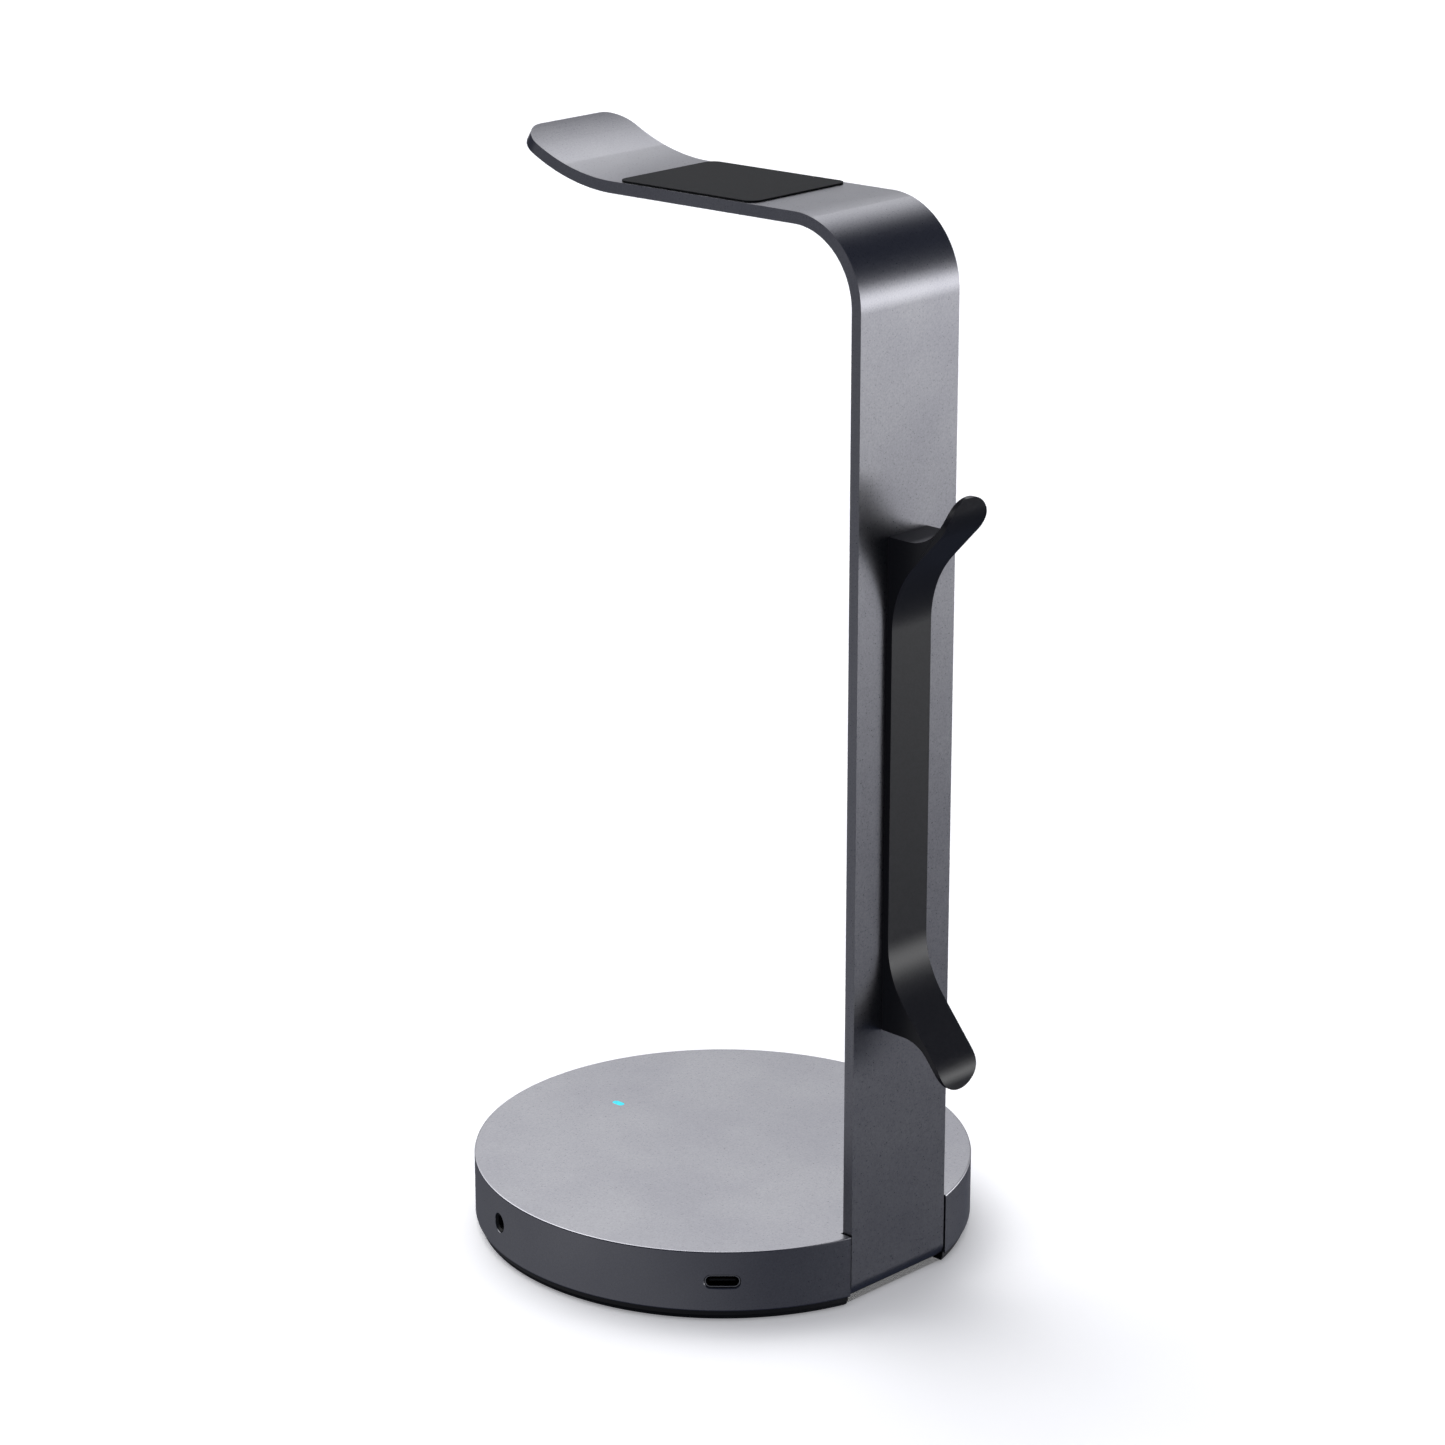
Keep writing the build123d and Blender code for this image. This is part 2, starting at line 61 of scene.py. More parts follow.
# ---- Base housing ----
# A cup turned from solid aluminium, bead blasted and anodised grey. Its rim has two finely cut
# edges, a slot at the back takes the strap, and a thick block inside holds the strap's foot.
base_radius = 65.0 * mm
base_top = 19.1 * mm
rim_low = 2.8 * mm
wall = 3.0 * mm
ceiling = 15.6 * mm
strap_half = 17.25 * mm
strap_gap = 0.5 * mm
strap_face = 62.3 * mm
strap_depth = 3.0 * mm
foot_low = 1.4 * mm
foot_front = 32.5 * mm
block_half = 22.0 * mm
block_front = 30.0 * mm
post_ring = 57.5 * mm
post_angles = (10, -50, -110, -170, 130)
usb_angle = radians(44.5)
usb_height = 10.9 * mm
jack_angle = radians(-17.15)
jack_height = 11.1 * mm
light_place = (0, -39.3 * mm)


def fresh(add, name, **settings):
    """Add a primitive with nothing else selected, and give it its name."""
    bpy.ops.object.select_all(action="DESELECT")
    add(**settings)
    piece = bpy.context.active_object
    piece.name = name
    piece.data.name = name
    return piece


def only(piece):
    """Make one piece the whole selection."""
    bpy.ops.object.select_all(action="DESELECT")
    piece.select_set(True)
    bpy.context.view_layer.objects.active = piece


def settle(piece):
    """Put a piece's place, turn and scale into its mesh."""
    only(piece)
    bpy.ops.object.transform_apply(location=True, rotation=True, scale=True)
    return piece


def block(name, low, high):
    """A cube stretched between two corners."""
    middle = [(a + b) / 2 for a, b in zip(low, high)]
    size = [b - a for a, b in zip(low, high)]
    piece = fresh(bpy.ops.mesh.primitive_cube_add, name, size=1, location=middle)
    piece.scale = size
    return settle(piece)


def rod(name, radius, low, high, sides=64, x=0.0, y=0.0):
    """An upright cylinder between two heights."""
    place = (x, y, (low + high) / 2)
    add = bpy.ops.mesh.primitive_cylinder_add
    return settle(fresh(add, name, vertices=sides, radius=radius, depth=high - low, location=place))


def pick(piece, kind, test):
    """In edit mode, select the faces, edges or points whose middle and item pass a test."""
    only(piece)
    bpy.ops.object.mode_set(mode="EDIT")
    bpy.ops.mesh.select_mode(type=kind)
    bpy.ops.mesh.select_all(action="DESELECT")
    mesh = bmesh.from_edit_mesh(piece.data)
    items = {"FACE": mesh.faces, "EDGE": mesh.edges, "VERT": mesh.verts}[kind]
    for item in items:
        points = [item.co] if kind == "VERT" else [v.co for v in item.verts]
        middle = sum(points, Vector()) / len(points)
        if test(middle, item):
            item.select_set(True)
    bmesh.update_edit_mesh(piece.data)


def leave():
    """Go back to object mode."""
    bpy.ops.object.mode_set(mode="OBJECT")


def combine(piece, tool, operation):
    """Join a tool to a piece or cut it out, and throw the tool away."""
    only(piece)
    bpy.ops.object.modifier_add(type="BOOLEAN")
    change = piece.modifiers[-1]
    change.operation = operation
    change.solver = "EXACT"
    change.object = tool
    bpy.ops.object.modifier_apply(modifier=change.name)
    bpy.data.objects.remove(tool)


def smooth(piece):
    """Shade curved faces smoothly. Anything that turns more than 14 degrees in one step stays
    sharp, so that a flat face isn't tilted by the small roundings along its edges."""
    only(piece)
    bpy.ops.object.shade_smooth_by_angle(angle=radians(14))


def soften(piece, width, segments=3, corner=35.0):
    """Break every corner of a piece with a small rounding."""
    only(piece)
    bpy.ops.object.modifier_add(type="BEVEL")
    bevel = piece.modifiers[-1]
    bevel.width = width
    bevel.segments = segments
    bevel.limit_method = "ANGLE"
    bevel.angle_limit = radians(corner)
    bpy.ops.object.modifier_apply(modifier=bevel.name)
    smooth(piece)


def round_along_x(name, start, end, radius, end_radius, sides=64):
    """A cylinder or cone lying along X, from one place to another."""
    add = bpy.ops.mesh.primitive_cone_add
    size = {"vertices": sides, "radius1": radius, "radius2": end_radius, "depth": end - start}
    middle = ((start + end) / 2, 0, 0)
    return settle(fresh(add, name, location=middle, rotation=(0, pi / 2, 0), **size))


def capsule(name, width, height, depth):
    """A rounded bar along X, from -depth to 0, wide along Y and high along Z."""
    piece = round_along_x(name, -depth, 0, height / 2, height / 2, 48)
    for side in (-1, 1):
        pick(piece, "VERT", lambda middle, point: middle.y * side > 0.001 * mm)
        bpy.ops.transform.translate(value=(0, side * (width - height) / 2, 0))
        leave()
    return piece


def face_out(piece, angle, radius, height):
    """Turn a piece built along X so that it faces out of the rim at an angle."""
    piece.rotation_euler = (0, 0, angle)
    piece.location = (radius * cos(angle), radius * sin(angle), height)
    return settle(piece)


def linear(code):
    """A colour's sRGB hex code as linear red, green, blue and alpha."""
    parts = [int(code[i:i + 2], 16) / 255 for i in (0, 2, 4)]
    return tuple(c / 12.92 if c < 0.04045 else ((c + 0.055) / 1.055) ** 2.4 for c in parts) + (1.0,)


def add_node(tree, kind, inputs=None, **settings):
    """Add a node with its settings. Each input takes a number, a colour or another node's output."""
    made = tree.nodes.new(kind)
    for name, value in settings.items():
        setattr(made, name, value)
    for name, value in (inputs or {}).items():
        if isinstance(value, bpy.types.NodeSocket):
            tree.links.new(value, made.inputs[name])
        else:
            made.inputs[name].default_value = value
    return made


def new_finish(name):
    """An empty material, its node tree, and the object's own coordinates."""
    finish = bpy.data.materials.new(name)
    finish.use_nodes = True
    tree = finish.node_tree
    tree.nodes.clear()
    place = add_node(tree, "ShaderNodeTexCoord").outputs["Object"]
    return finish, tree, place


def coat(tree, shader):
    """Send a shader to the material's output."""
    add_node(tree, "ShaderNodeOutputMaterial", {"Surface": shader.outputs[0]})


def between(tree, factor, low, high, low_at=0.0, high_at=1.0):
    """Turn a pattern into a number or a colour that runs between two values."""
    if isinstance(low, str):
        ramp = add_node(tree, "ShaderNodeValToRGB", {"Fac": factor})
        ramp.color_ramp.elements[0].color = linear(low)
        ramp.color_ramp.elements[1].color = linear(high)
        ramp.color_ramp.elements[0].position = low_at
        ramp.color_ramp.elements[1].position = high_at
        return ramp.outputs["Color"]
    limits = {"Value": factor, "From Min": low_at, "From Max": high_at, "To Min": low, "To Max": high}
    return add_node(tree, "ShaderNodeMapRange", limits).outputs["Result"]


def blasted_aluminium(name, dark, light, rough):
    """Bead-blasted anodised aluminium: a satin metal whose tiny dimples scatter the light.
    Blasting dimples are about 0.1 mm; they are drawn 0.45 mm wide, the finest that shows."""
    dimple = 0.45 * mm
    cloud = 25 * mm
    finish, tree, place = new_finish(name)
    grain = {"Vector": place, "Scale": 1 / dimple, "Detail": 3.0, "Roughness": 0.7}
    fine = add_node(tree, "ShaderNodeTexNoise", grain)
    broad = add_node(tree, "ShaderNodeTexNoise", {"Vector": place, "Scale": 1 / cloud, "Detail": 2.0})
    grey = between(tree, fine.outputs["Fac"], dark, light, 0.3, 0.7)
    tone = between(tree, broad.outputs["Fac"], "F4F4F6", "FFFFFF", 0.35, 0.65)
    mixed = add_node(tree, "ShaderNodeMix", {"Factor": 1.0}, data_type="RGBA", blend_type="MULTIPLY")
    tree.links.new(grey, mixed.inputs[6])
    tree.links.new(tone, mixed.inputs[7])
    dents = {"Height": fine.outputs["Fac"], "Strength": 0.12, "Distance": 0.02 * mm}
    bump = add_node(tree, "ShaderNodeBump", dents)
    gloss = between(tree, fine.outputs["Fac"], rough - 0.03, rough + 0.04, 0.3, 0.7)
    look = {"Base Color": mixed.outputs[2], "Metallic": 1.0, "Roughness": gloss}
    look["Normal"] = bump.outputs["Normal"]
    coat(tree, add_node(tree, "ShaderNodeBsdfPrincipled", look))
    return finish


def hand_over(piece, finish, slot, *nodes):
    """Fix a finished piece in the frame with its finish, and hide the nodes it stands for. The slot is not
    used.
    """
    settle(piece)
    piece.data.materials.clear()
    piece.data.materials.append(finish)
    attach(piece, "root")
    if nodes:
        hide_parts(*nodes)


anodised = blasted_aluminium("bead_blasted_anodised_aluminium", "8A8A8F", "9C9CA1", 0.3)

housing = rod("turned_base_housing", base_radius, rim_low, base_top, 256)
pick(housing, "FACE", lambda middle, face: face.normal.z < -0.9)
bpy.ops.mesh.inset(thickness=wall)
bpy.ops.mesh.extrude_region_move(TRANSFORM_OT_translate={"value": (0, 0, ceiling - rim_low)})
leave()
outer = base_radius - wall / 2
near = 0.01 * mm
for height in (rim_low, base_top):
    pick(housing, "EDGE", lambda middle, edge: abs(middle.z - height) < near and middle.xy.length > outer)
    bpy.ops.mesh.bevel(offset=0.32 * mm, segments=2, profile=0.6, affect="EDGES")
    leave()

strap_low = foot_low + strap_depth
land = block("strap_land", (-block_half, block_front, strap_low), (block_half, 60 * mm, ceiling + 1 * mm))
combine(housing, land, "UNION")
for angle in post_angles:
    x, y = post_ring * cos(radians(angle)), post_ring * sin(radians(angle))
    combine(housing, rod("screw_post", 3.5 * mm, rim_low + 0.01 * mm, ceiling + 1 * mm, 32, x, y), "UNION")
notch_half = strap_half + strap_gap
notch_front = strap_face - strap_depth - 0.3 * mm
outside = base_radius + 5 * mm
slot_cut = block("strap_slot", (-notch_half, notch_front, -5 * mm), (notch_half, outside, 25 * mm))
combine(housing, slot_cut, "DIFFERENCE")
pocket = block("foot_pocket", (-notch_half, foot_front, -5 * mm), (notch_half, outside, strap_low))
combine(housing, pocket, "DIFFERENCE")

usb_hole = capsule("usb_hole", 9.2 * mm, 3.45 * mm, 8 * mm)
combine(housing, face_out(usb_hole, usb_angle, base_radius + 1 * mm, usb_height), "DIFFERENCE")
usb_edge = capsule("usb_edge", 9.1 * mm, 3.3 * mm, 0.55 * mm)
pick(usb_edge, "FACE", lambda middle, face: face.normal.x > 0.9)
bpy.ops.transform.resize(value=(1, 10.2 / 9.1, 4.4 / 3.3))
leave()
combine(housing, face_out(usb_edge, usb_angle, base_radius + 0.2 * mm, usb_height), "DIFFERENCE")

jack_hole = round_along_x("jack_hole", -6 * mm, 2 * mm, 2.55 * mm, 2.55 * mm)
combine(housing, face_out(jack_hole, jack_angle, base_radius, jack_height), "DIFFERENCE")
jack_edge = round_along_x("jack_edge", -0.2 * mm, 0.1 * mm, 2.5 * mm, 2.8 * mm)
combine(housing, face_out(jack_edge, jack_angle, base_radius, jack_height), "DIFFERENCE")

light_hole = capsule("light_hole", 3.95 * mm, 2.15 * mm, 8 * mm)
light_hole.rotation_euler = (0, -pi / 2, 0)
light_hole.location = (*light_place, base_top - 5 * mm)
combine(housing, settle(light_hole), "DIFFERENCE")
smooth(housing)
hand_over(housing, anodised, "anodised_aluminium", "base_housing")

# ---- Headphone jack ----
# A black nylon jack that sits on the circuit board, its round barrel filling the hole in the rim.
# The mouth has a turned-in edge, and two sprung contacts show inside the bore.
barrel_radius = 2.5 * mm
bore_radius = 1.8 * mm
jack_mouth = base_radius - 0.3 * mm


def moulded_plastic(name, dark, light, rough, grain):
    """Injection moulded plastic: a soft gloss over a fine spark-eroded texture. The real grain is
    about 0.05 mm; it is drawn as wide as given, so that it shows."""
    finish, tree, place = new_finish(name)
    speck = add_node(tree, "ShaderNodeTexNoise", {"Vector": place, "Scale": 1 / grain, "Detail": 4.0})
    tint = between(tree, speck.outputs["Fac"], dark, light, 0.35, 0.65)
    dents = {"Height": speck.outputs["Fac"], "Strength": 0.15, "Distance": 0.01 * mm}
    bump = add_node(tree, "ShaderNodeBump", dents)
    gloss = between(tree, speck.outputs["Fac"], rough - 0.03, rough + 0.04, 0.3, 0.7)
    look = {"Base Color": tint, "Roughness": gloss, "IOR": 1.5, "Normal": bump.outputs["Normal"]}
    coat(tree, add_node(tree, "ShaderNodeBsdfPrincipled", look))
    return finish


def drawn_metal(name, dark, light, rough, grain):
    """Drawn or plated metal with fine streaks and slightly uneven gloss. The real streaks are about
    0.02 mm apart; they are drawn as wide as given, so that they show."""
    finish, tree, place = new_finish(name)
    streak = add_node(tree, "ShaderNodeMapping", {"Vector": place, "Scale": (1.0, 1.0, 6.0)})
    lines = {"Vector": streak.outputs["Vector"], "Scale": 1 / grain, "Detail": 3.0}
    marks = add_node(tree, "ShaderNodeTexNoise", lines)
    tint = between(tree, marks.outputs["Fac"], dark, light, 0.3, 0.7)
    gloss = between(tree, marks.outputs["Fac"], rough - 0.04, rough + 0.06, 0.3, 0.7)
    dents = {"Height": marks.outputs["Fac"], "Strength": 0.1, "Distance": 0.005 * mm}
    bump = add_node(tree, "ShaderNodeBump", dents)
    look = {"Base Color": tint, "Metallic": 1.0, "Roughness": gloss, "Normal": bump.outputs["Normal"]}
    coat(tree, add_node(tree, "ShaderNodeBsdfPrincipled", look))
    return finish


black_nylon = moulded_plastic("moulded_black_nylon", "060608", "0C0C0F", 0.6, 0.3 * mm)
barrel = round_along_x("jack_barrel", -3 * mm, 0, barrel_radius, barrel_radius)
combine(barrel, block("jack_case", (-14 * mm, -3 * mm, -2.5 * mm), (-2.9 * mm, 3 * mm, 2.48 * mm)), "UNION")
bore = round_along_x("jack_bore", -12.5 * mm, 1.5 * mm, bore_radius, bore_radius)
combine(barrel, bore, "DIFFERENCE")
lead_in = round_along_x("jack_lead_in", -0.37 * mm, 0.03 * mm, 1.79 * mm, 2.2 * mm)
combine(barrel, lead_in, "DIFFERENCE")
face_out(barrel, jack_angle, jack_mouth, jack_height)
smooth(barrel)
hand_over(barrel, black_nylon, "black_plastic", "jack_body")

# ---- USB-C receptacle ----
# A folded stainless steel shell round a black moulded tongue, set just inside its slot.
# The gold contacts on the tongue stay as the frame has them.
usb_mouth = base_radius - 0.6 * mm
steel = drawn_metal("folded_stainless_steel", "9A9A9C", "B8B8BA", 0.28, 0.5 * mm)
shell = capsule("usb_shell", 8.94 * mm, 3.26 * mm, 7.3 * mm)
shell_inside = capsule("usb_shell_inside", 8.34 * mm, 2.66 * mm, 9.3 * mm)
shell_inside.location = (1 * mm, 0, 0)
combine(shell, settle(shell_inside), "DIFFERENCE")
face_out(shell, usb_angle, usb_mouth, usb_height)
soften(shell, 0.06 * mm, 2)
hand_over(shell, steel, "stainless_steel", "usb_c_shell")

tongue = block("usb_tongue", (-6 * mm, -3.35 * mm, -0.35 * mm), (-0.8 * mm, 3.35 * mm, 0.35 * mm))
pick(tongue, "EDGE", lambda middle, edge: middle.x > -1 * mm)
bpy.ops.mesh.bevel(offset=0.15 * mm, segments=3, affect="EDGES")
leave()
plug = capsule("usb_back_plug", 8.3 * mm, 2.62 * mm, 1.9 * mm)
plug.location = (-5.4 * mm, 0, 0)
combine(tongue, settle(plug), "UNION")
face_out(tongue, usb_angle, usb_mouth, usb_height)
smooth(tongue)
hand_over(tongue, black_nylon, "black_plastic", "usb_c_insulator")

# ---- Strap ----
# One bar of the same aluminium, bent cold: a foot under the base, the tall post, the arm that
# slopes down a little, and the lip that keeps a headband on. Four screws hold its foot.
foot_reach = 33.0 * mm
foot_bend = 4.0 * mm
top_bend = 21.2 * mm
top_bend_height = 255.3 * mm
arm_slope = radians(1.7)
lip_start = -21.0 * mm
lip_bend = 58.5 * mm
lip_angle = radians(33.8)
lip_corner = 7.0 * mm
hook_screw_heights = (79.5 * mm, 192.0 * mm)


def ahead(point, angle, run):
    """The point at a distance from another along an angle in the YZ plane."""
    return (point[0] + run * cos(angle), point[1] + run * sin(angle))


def run_out(point, heading, length):
    """Extrude the selection straight on in the YZ plane. A short strip at either end takes up the
    shading of the bends, so the long one between them stays flat."""
    strip = 0.5 * mm
    for run in (strip, length - 2 * strip, strip):
        step = (0, run * cos(heading), run * sin(heading))
        bpy.ops.mesh.extrude_region_move(TRANSFORM_OT_translate={"value": step})
    return ahead(point, heading, length)


def bend_round(point, heading, radius, turn, step=radians(2.5)):
    """Spin the selection round a bend in the YZ plane: a positive turn is to the left."""
    side = 1 if turn > 0 else -1
    centre = ahead(point, heading + side * pi / 2, radius)
    steps = ceil(abs(turn) / step)
    bpy.ops.mesh.spin(steps=steps, angle=-turn, center=(0, *centre), axis=(1, 0, 0))
    return ahead(centre, heading - side * pi / 2 + turn, radius), heading + turn


arm_start = ahead((strap_face - top_bend, top_bend_height), pi / 2 + arm_slope, top_bend)
arm_run = (arm_start[0] - lip_start) / cos(arm_slope)
strap = fresh(bpy.ops.mesh.primitive_plane_add, "bent_strap", size=1, rotation=(pi / 2, 0, 0))
strap.scale = (2 * strap_half, strap_depth, 1)
strap.location = (0, foot_reach, foot_low + strap_depth / 2)
settle(strap)
pick(strap, "FACE", lambda middle, face: True)
place = (foot_reach, foot_low)
heading = 0.0
place = run_out(place, heading, strap_face - foot_bend - foot_reach)
place, heading = bend_round(place, heading, foot_bend, pi / 2, radians(7))
place = run_out(place, heading, top_bend_height - foot_low - foot_bend)
place, heading = bend_round(place, heading, top_bend, pi / 2 + arm_slope)
place = run_out(place, heading, arm_run)
place, heading = bend_round(place, heading, lip_bend, -lip_angle, radians(1.5))
bpy.ops.mesh.select_all(action="SELECT")
bpy.ops.mesh.remove_doubles(threshold=0.001 * mm)
bpy.ops.mesh.normals_make_consistent(inside=False)
leave()


def end_cutter(name, half, corner, point, heading):
    """What to cut off a strip's end so that its corners are round: the strip runs along heading."""
    waste = block(name, (-half - 2 * mm, -corner - 0.3 * mm, -6 * mm), (half + 2 * mm, 2 * mm, 6 * mm))
    keep = block(name + "_keep", (-half, -corner - 20 * mm, -8 * mm), (half, 0, 8 * mm))
    pick(keep, "EDGE", lambda middle, edge: abs(middle.z) < 1 * mm and middle.y > -1 * mm)
    bpy.ops.mesh.bevel(offset=corner, segments=16, affect="EDGES")
    leave()
    combine(waste, keep, "DIFFERENCE")
    waste.rotation_euler = (heading, 0, 0)
    waste.location = (0, *point)
    return settle(waste)


combine(strap, end_cutter("lip_corners", strap_half, lip_corner, place, heading), "DIFFERENCE")
inner_face = strap_face - strap_depth
for height in hook_screw_heights:
    sink = round_along_x("hook_screw_sink", -1.4 * mm, 0.2 * mm, 1.6 * mm, 3.2 * mm, 48)
    through = round_along_x("hook_screw_hole", -4 * mm, 4 * mm, 1.65 * mm, 1.65 * mm, 48)
    for drill in (sink, through):
        combine(strap, face_out(drill, -pi / 2, -inner_face, height), "DIFFERENCE")
soften(strap, 0.15 * mm, 2)
hand_over(strap, anodised, "anodised_aluminium", "strap")

# ---- Cable hook ----
# Moulded in satin black plastic: a thin strip whose ends swell out of solid feet and flare away
# from the post, so that a cable can be wound between them. Two screws hold it from inside.
hook_half = 7.0 * mm
hook_strip = 1.7 * mm
hook_tip = 1.3 * mm
hook_low = 72.0 * mm
hook_high = 199.2 * mm
upper_flare, upper_end = radians(46.7), radians(82.7)
lower_flare, lower_end = radians(-49.2), radians(-90.0)
upper_root = (strap_face + hook_strip, 186.1 * mm)
lower_root = (strap_face + hook_strip, 86.4 * mm)


def meet(p, p_angle, q, q_angle):
    """Where two lines cross in the YZ plane, each given by a point and an angle."""
    u = (cos(p_angle), sin(p_angle))
    v = (cos(q_angle), sin(q_angle))
    run = ((q[0] - p[0]) * v[1] - (q[1] - p[1]) * v[0]) / (u[0] * v[1] - u[1] * v[0])
    return ahead(p, p_angle, run)


def rounded_outline(name, corners):
    """Draw a closed outline in the YZ plane by extruding and spinning a point, then fill it."""
    first = corners[0][0]
    piece = fresh(bpy.ops.mesh.primitive_plane_add, name, size=1 * mm)
    bpy.ops.object.mode_set(mode="EDIT")
    bpy.ops.mesh.select_mode(type="VERT")
    bpy.ops.mesh.select_all(action="SELECT")
    bpy.ops.mesh.merge(type="CENTER")
    bpy.ops.transform.translate(value=(0, *first))
    place = first
    count = len(corners)
    for i in range(1, count + 1):
        corner, radius = corners[i % count]
        following = corners[(i + 1) % count][0]
        previous = corners[i - 1][0]
        coming = atan2(corner[1] - previous[1], corner[0] - previous[0])
        going = atan2(following[1] - corner[1], following[0] - corner[0])
        turn = (going - coming + pi) % (2 * pi) - pi
        back_off = radius * tan(abs(turn) / 2)
        length = hypot(corner[0] - place[0], corner[1] - place[1]) - back_off
        place = run_out(place, coming, length)
        if radius:
            place, coming = bend_round(place, coming, radius, turn, radians(3.0))
    bpy.ops.mesh.select_all(action="SELECT")
    bpy.ops.mesh.remove_doubles(threshold=0.005 * mm)
    bpy.ops.mesh.edge_face_add()
    return piece


upper_knee = ahead(upper_root, upper_flare, 25.3 * mm)
lower_knee = ahead(lower_root, lower_flare, 27.6 * mm)
upper_tip = ahead(upper_knee, upper_end, 6.9 * mm)
lower_tip = ahead(lower_knee, lower_end, 5.6 * mm)
upper_back = ahead(upper_tip, upper_end + pi / 2, hook_tip)
lower_back = ahead(lower_tip, lower_end - pi / 2, hook_tip)
upper_behind = ahead(upper_knee, upper_flare + pi / 2, hook_strip)
lower_behind = ahead(lower_knee, lower_flare - pi / 2, hook_strip)
hook_corners = [
    ((strap_face, hook_low), 0.0),
    ((strap_face, hook_high), 0.0),
    (meet((0, hook_high), 0, upper_behind, upper_flare), 12.0 * mm),
    (meet(upper_back, upper_end, upper_behind, upper_flare), 10.4 * mm),
    (upper_back, 0.0),
    (upper_tip, 0.0),
    (upper_knee, 12.0 * mm),
    (upper_root, 25.2 * mm),
    (lower_root, 24.3 * mm),
    (lower_knee, 10.6 * mm),
    (lower_tip, 0.0),
    (lower_back, 0.0),
    (meet(lower_back, lower_end, lower_behind, lower_flare), 9.0 * mm),
    (meet((0, hook_low), 0, lower_behind, lower_flare), 10.0 * mm),
]
hook = rounded_outline("flared_cable_hook", hook_corners)
bpy.ops.transform.translate(value=(-hook_half, 0, 0))
bpy.ops.mesh.extrude_region_move(TRANSFORM_OT_translate={"value": (2 * hook_half, 0, 0)})
bpy.ops.mesh.select_all(action="SELECT")
bpy.ops.mesh.normals_make_consistent(inside=False)
leave()
tip_middle = strap_face + 20 * mm
for height, heading in ((upper_back[1], pi / 2), (lower_tip[1], -pi / 2)):
    cutter = end_cutter("hook_tip", hook_half, hook_half - 0.02 * mm, (tip_middle, height), heading)
    combine(hook, cutter, "DIFFERENCE")
soften(hook, 0.2 * mm, 2, 50.0)
satin_black = moulded_plastic("satin_black_polycarbonate", "222226", "28282C", 0.32, 0.6 * mm)
hand_over(hook, satin_black, "hook_black", "cable_hook")

# ---- Hook screws ----
# Two countersunk M3 screws with hexagon sockets, black zinc plated, flush in the strap's inner
# face. The first is turned and cut, and the second is a copy of it.
black_zinc = drawn_metal("black_zinc_plated_steel", "26262A", "3A3A3F", 0.35, 0.4 * mm)
head_radius = 2.85 * mm
shank_radius = 1.5 * mm
screw = rod("hook_screw_lower", head_radius, 0, 1.4 * mm, 48)
pick(screw, "FACE", lambda middle, face: face.normal.z > 0.9)
bpy.ops.transform.resize(value=(shank_radius / head_radius, shank_radius / head_radius, 1))
bpy.ops.mesh.extrude_region_move(TRANSFORM_OT_translate={"value": (0, 0, 4.6 * mm)})
leave()
combine(screw, rod("hexagon_socket", 1.15 * mm, -1 * mm, 1.1 * mm, 6), "DIFFERENCE")
screw.rotation_euler = (-pi / 2, 0, 0)
screw.location = (0, inner_face + 0.05 * mm, hook_screw_heights[0])
settle(screw)
soften(screw, 0.08 * mm, 2)
second = screw.copy()
second.data = screw.data.copy()
second.name = second.data.name = "hook_screw_upper"
bpy.context.scene.collection.objects.link(second)
second.location = (0, 0, hook_screw_heights[1] - hook_screw_heights[0])
for piece in (screw, second):
    hand_over(piece, black_zinc, "screw_steel", "hook_screws")

# ---- Cradle pad ----
# Die-cut from matt charcoal silicone sheet, with its upper edge rounded, and bonded to the arm.
# It stands half a millimetre proud and leaves a hair of metal on each side.
pad_half_width = 16.6 * mm
pad_half_length = 23.2 * mm
pad_middle = 3.2 * mm
pad_lift = 0.1 * mm
pad_depth = 0.4 * mm


def matt_silicone(name, dark, light, rough, grain):
    """Matt silicone rubber: no clear reflection and a fine dusty grain. The real grain is about
    0.1 mm; it is drawn as wide as given, so that it shows."""
    finish, tree, place = new_finish(name)
    bloom = {"Vector": place, "Scale": 1 / grain, "Detail": 5.0, "Roughness": 0.65}
    dust = add_node(tree, "ShaderNodeTexNoise", bloom)
    tint = between(tree, dust.outputs["Fac"], dark, light, 0.3, 0.7)
    dents = {"Height": dust.outputs["Fac"], "Strength": 0.25, "Distance": 0.03 * mm}
    bump = add_node(tree, "ShaderNodeBump", dents)
    look = {"Base Color": tint, "Roughness": rough, "IOR": 1.41, "Normal": bump.outputs["Normal"]}
    coat(tree, add_node(tree, "ShaderNodeBsdfPrincipled", look))
    return finish


charcoal = matt_silicone("matt_charcoal_silicone", "121316", "1B1C1F", 0.92, 0.5 * mm)
pad = fresh(bpy.ops.mesh.primitive_plane_add, "cradle_pad_sheet", size=2)
pad.scale = (pad_half_width, pad_half_length, 1)
settle(pad)
pick(pad, "VERT", lambda middle, point: True)
bpy.ops.mesh.bevel(offset=3 * mm, segments=10, affect="VERTICES")
bpy.ops.mesh.select_all(action="SELECT")
bpy.ops.mesh.extrude_region_move(TRANSFORM_OT_translate={"value": (0, 0, pad_depth)})
bpy.ops.mesh.select_all(action="SELECT")
bpy.ops.mesh.normals_make_consistent(inside=False)
leave()
pick(pad, "EDGE", lambda middle, edge: middle.z > pad_depth - 0.01 * mm)
bpy.ops.mesh.bevel(offset=0.15 * mm, segments=3, affect="EDGES")
leave()
pad_height = arm_start[1] - (arm_start[0] - pad_middle) * tan(arm_slope)
pad.rotation_euler = (arm_slope, 0, 0)
pad.location = (0, pad_middle - sin(arm_slope) * pad_lift, pad_height + pad_lift)
settle(pad)
smooth(pad)
